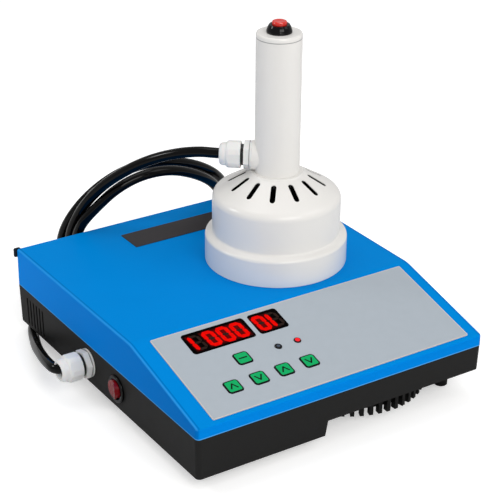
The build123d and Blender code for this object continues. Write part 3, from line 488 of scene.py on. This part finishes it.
# ------------------------------------------------------------------ seven-segment digits
lit = bpy.data.materials.new("digit_lit")
lit.use_nodes = True
b = lit.node_tree.nodes["Principled BSDF"]
b.inputs["Base Color"].default_value = (*srgb(60, 1, 1), 1)
b.inputs["Specular IOR Level"].default_value = 0.0
b.inputs["Emission Strength"].default_value = 1.0
b.inputs["Roughness"].default_value = 0.4
# the light is a little uneven along each segment
E.tree = lit.node_tree
lvec, lx, ly, lz = coords(lit.node_tree)
lit.node_tree.links.new(mix(lit.node_tree, noise(lit.node_tree, lvec, 420.0, 1.0), (0.62, 0.001, 0.001), (1.0, 0.006, 0.003)), b.inputs["Emission Color"])
ghost = plain("digit_ghost", srgb(44, 32, 28), 0.4, spec=0.0, var=0.02)


def segments(cx, cy, w, h, th, slant, gap):
    """Outlines of a..g for a slanted digit."""
    g = th * gap
    hh = h / 2

    def hseg(yc):
        l, r_ = -w / 2 + th / 2 + g, w / 2 - th / 2 - g
        return [(l, yc), (l + th / 2, yc + th / 2), (r_ - th / 2, yc + th / 2), (r_, yc), (r_ - th / 2, yc - th / 2), (l + th / 2, yc - th / 2)]

    def vseg(xc, y0, y1):
        return [(xc, y0), (xc - th / 2, y0 + th / 2), (xc - th / 2, y1 - th / 2), (xc, y1), (xc + th / 2, y1 - th / 2), (xc + th / 2, y0 + th / 2)]

    top, bot, mid = hh - th / 2, -hh + th / 2, 0.0
    xr, xl = w / 2 - th / 2, -w / 2 + th / 2
    segs = {
        "a": hseg(top), "d": hseg(bot), "g": hseg(mid),
        "b": vseg(xr, mid + g, top - g), "c": vseg(xr, bot + g, mid - g),
        "f": vseg(xl, mid + g, top - g), "e": vseg(xl, bot + g, mid - g),
    }
    return {k: [(cx + u + slant * v, cy + v) for u, v in p] for k, p in segs.items()}


digits = [
    (-88.6, "ef"), (-75.4, "abcdef"), (-62.2, "abcdef"), (-49.0, "abcdef"),
    (-27.4, "abcdef"), (-14.2, "ef"),
]
lit_polys, ghost_polys = [], []
for dx, on in digits:
    # lit segments run into each other, unlit ones are thin and apart
    for k, poly in segments(dx, 85.6, 11.4, 19.0, 3.6, -0.10, -0.20).items():
        if k in on:
            lit_polys.append(poly)
    for k, poly in segments(dx, 85.6, 10.4, 18.0, 2.5, -0.10, 0.12).items():
        if k not in on:
            ghost_polys.append(poly)
flat_piece("digits_lit", lit_polys, lambda u, v: on_panel(u, v, 1.06), lit, "housing")
flat_piece("digits_ghost", ghost_polys, lambda u, v: on_panel(u, v, 1.05), ghost, "housing")

# ------------------------------------------------------------------ floor and light
bm = bmesh.new()
bmesh.ops.create_grid(bm, x_segments=1, y_segments=1, size=6.0)
fm = bpy.data.meshes.new("floor")
bm.to_mesh(fm)
bm.free()
floor = bpy.data.objects.new("floor", fm)
sc.collection.objects.link(floor)
fmat = bpy.data.materials.new("floor_white")
fmat.use_nodes = True
fb = fmat.node_tree.nodes["Principled BSDF"]
fb.inputs["Base Color"].default_value = (0.8, 0.8, 0.8, 1)
fb.inputs["Roughness"].default_value = 0.9
fb.inputs["Specular IOR Level"].default_value = 0.0
fb.inputs["Emission Color"].default_value = (1, 1, 1, 1)
# one even lift all over, so that the floor reads as a bright table
E.tree = fmat.node_tree
t = fmat.node_tree
lpf = t.nodes.new("ShaderNodeLightPath")
t.links.new((E(lpf.outputs["Is Camera Ray"]) * 0.45).s, fb.inputs["Emission Strength"])
floor.data.materials.append(fmat)
floor.location.z = -0.0002

world = bpy.data.worlds.new("world")
sc.world = world
world.use_nodes = True
wt = world.node_tree
bg = wt.nodes["Background"]
lp = wt.nodes.new("ShaderNodeLightPath")
bg2 = wt.nodes.new("ShaderNodeBackground")
bg.inputs[0].default_value = (1, 1, 1, 1)
bg.inputs[1].default_value = 0.5
bg2.inputs[0].default_value = (1, 1, 1, 1)
bg2.inputs[1].default_value = 1.3
ms = wt.nodes.new("ShaderNodeMixShader")
wt.links.new(lp.outputs["Is Camera Ray"], ms.inputs[0])
wt.links.new(bg.outputs[0], ms.inputs[1])
wt.links.new(bg2.outputs[0], ms.inputs[2])
wt.links.new(ms.outputs[0], wt.nodes["World Output"].inputs[0])


def area(name, loc, target, sx, sy, power, color=(1, 1, 1)):
    l = bpy.data.lights.new(name, "AREA")
    l.shape = "RECTANGLE"
    l.size, l.size_y = sx, sy
    l.energy = power
    l.color = color
    o = bpy.data.objects.new(name, l)
    sc.collection.objects.link(o)
    o.location = loc
    o.rotation_euler = (Vector(target) - Vector(loc)).to_track_quat("-Z", "Y").to_euler()
    return o


area("key", (1.2, -1.0, 1.7), (0, 0, 0.05), 1.1, 1.1, 6)
area("front", (-0.25, -1.8, 1.3), (0, 0, 0.1), 1.4, 1.0, 20, (1.0, 0.985, 0.955))
area("left", (-1.1, 0.7, 0.95), (-0.05, 0.05, 0.08), 0.28, 0.28, 3.5)
area("top", (0.1, 0.5, 1.9), (0, 0, 0.05), 1.4, 0.8, 6)

sc.view_settings.view_transform = "Standard"
sc.view_settings.look = "None"
sc.view_settings.exposure = 0.0
sc.view_settings.gamma = 1.0
